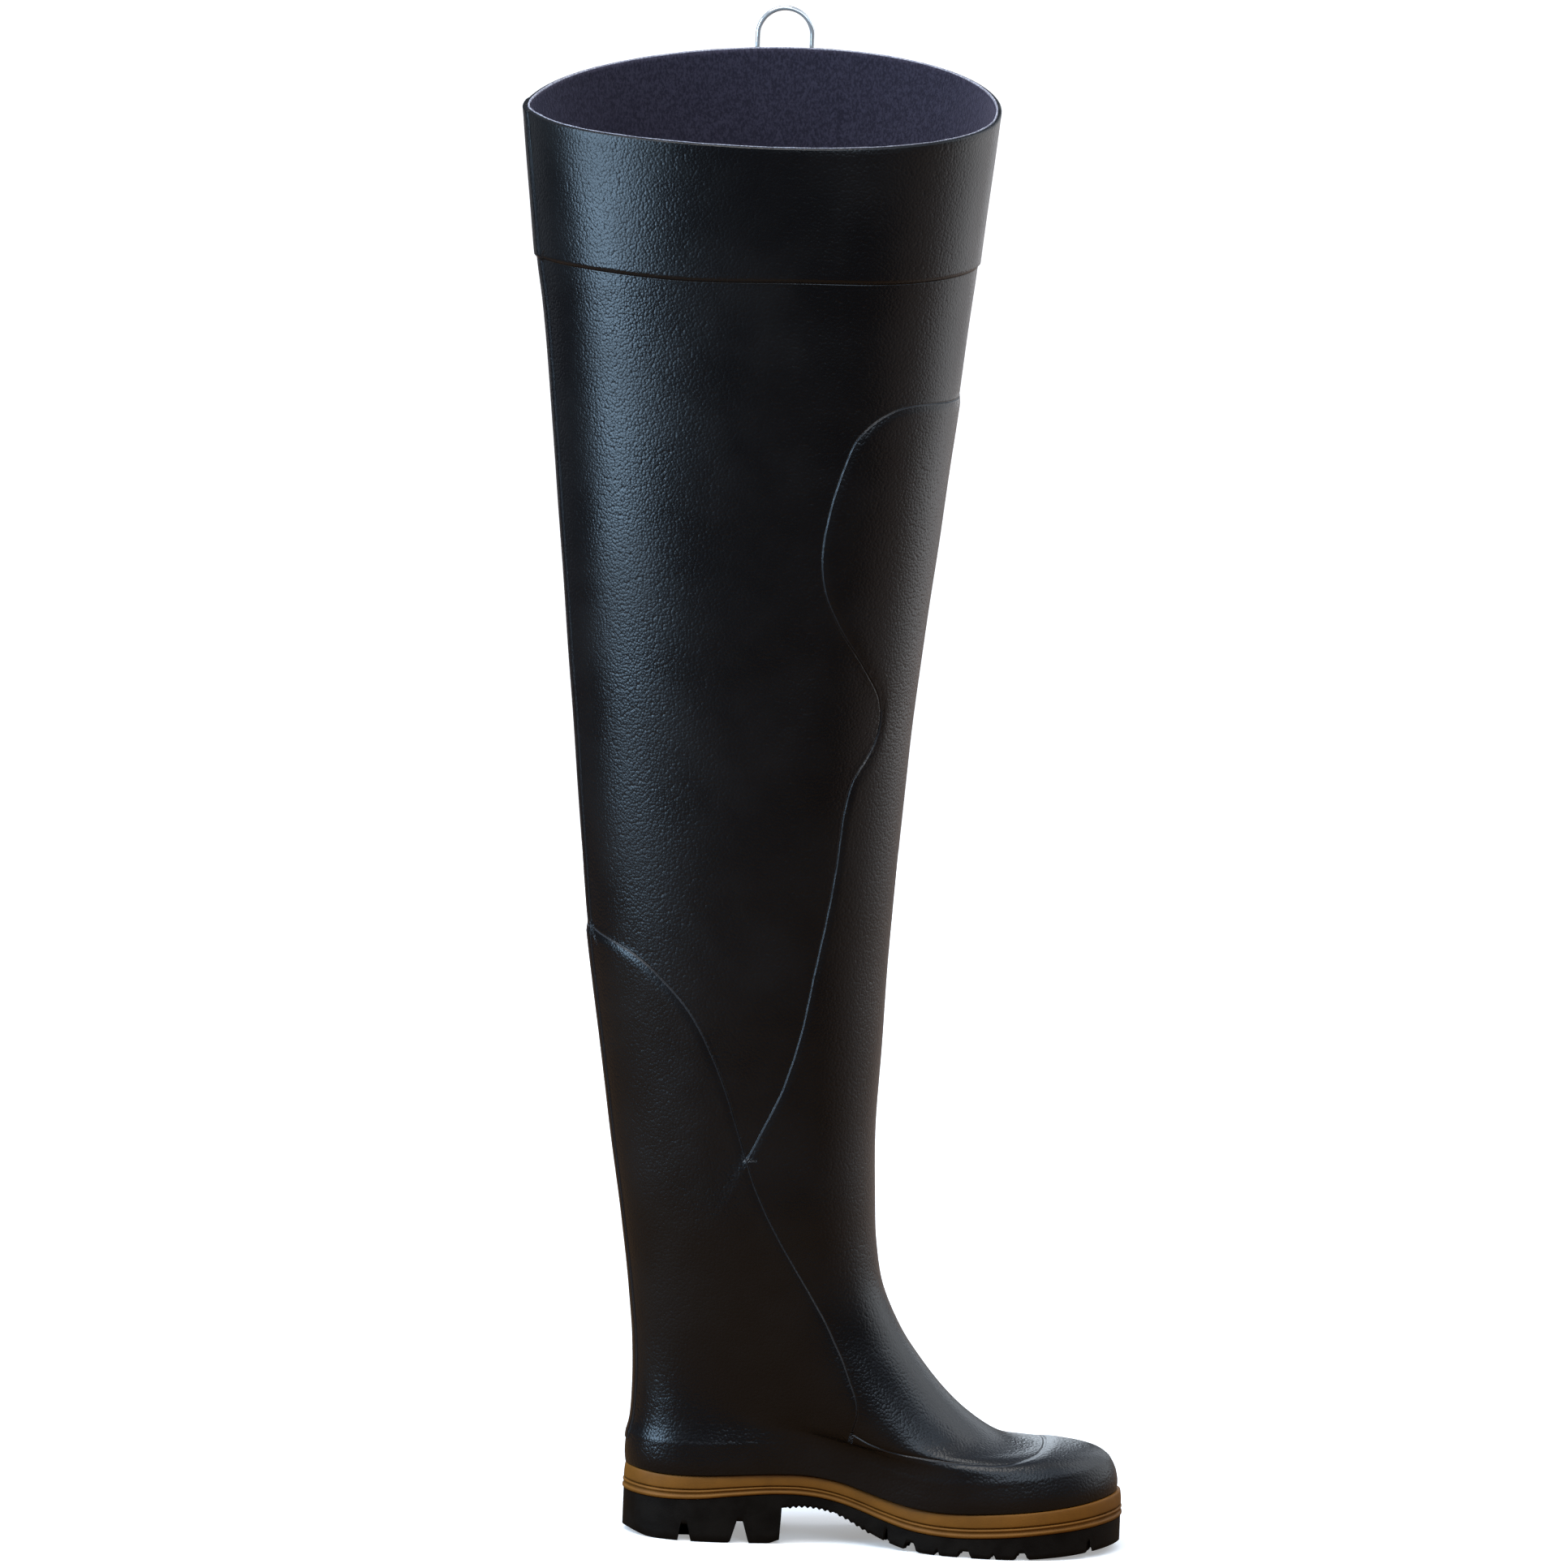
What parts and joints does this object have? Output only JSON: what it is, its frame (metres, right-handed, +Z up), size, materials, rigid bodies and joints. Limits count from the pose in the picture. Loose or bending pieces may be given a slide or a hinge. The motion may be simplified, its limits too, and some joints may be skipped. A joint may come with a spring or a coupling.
{
  "type": "hip wader boot",
  "caption": "Thigh-high rubber wader boot for a left foot, with a lugged sole, block heel, raised heel and front panels, a toe cap, a wide cuff and a wire strap ring at the collar",
  "frame": {"origin": "on the floor, under the middle of the heel's flat tread", "axes": "+Z up, +X towards the toe, +Y towards the outer (lateral) side of a left boot"},
  "size_m": [0.386, 0.1903, 0.898],
  "materials": {
    "black_rubber": "black rubber with a low satin gloss and a fine grain",
    "tan_rubber": "matt tan rubber, moulded",
    "sole_rubber": "matt black moulded rubber",
    "navy_lining": "dark purple-navy brushed textile",
    "polished_steel": "bright plated wire"
  },
  "bodies": {
    "boot": {"upper": "black_rubber", "midsole": "tan_rubber", "insole": "navy_lining", "outsole": "sole_rubber", "front_panel": "black_rubber", "heel_panel": "black_rubber", "toe_cap": "black_rubber", "cuff": "black_rubber", "back_strip": "black_rubber", "heel_strip": "black_rubber", "ring_tab": "black_rubber"},
    "ring": {"strap_ring": "polished_steel"}
  },
  "joints": [
    {"name": "ring_swing", "type": "hinge", "parent": "boot", "child": "ring", "pos_m": [0.0105, 0.09515, 0.86495], "axis": [-1, 0, 0], "range_deg": [-12, 160]}
  ]
}
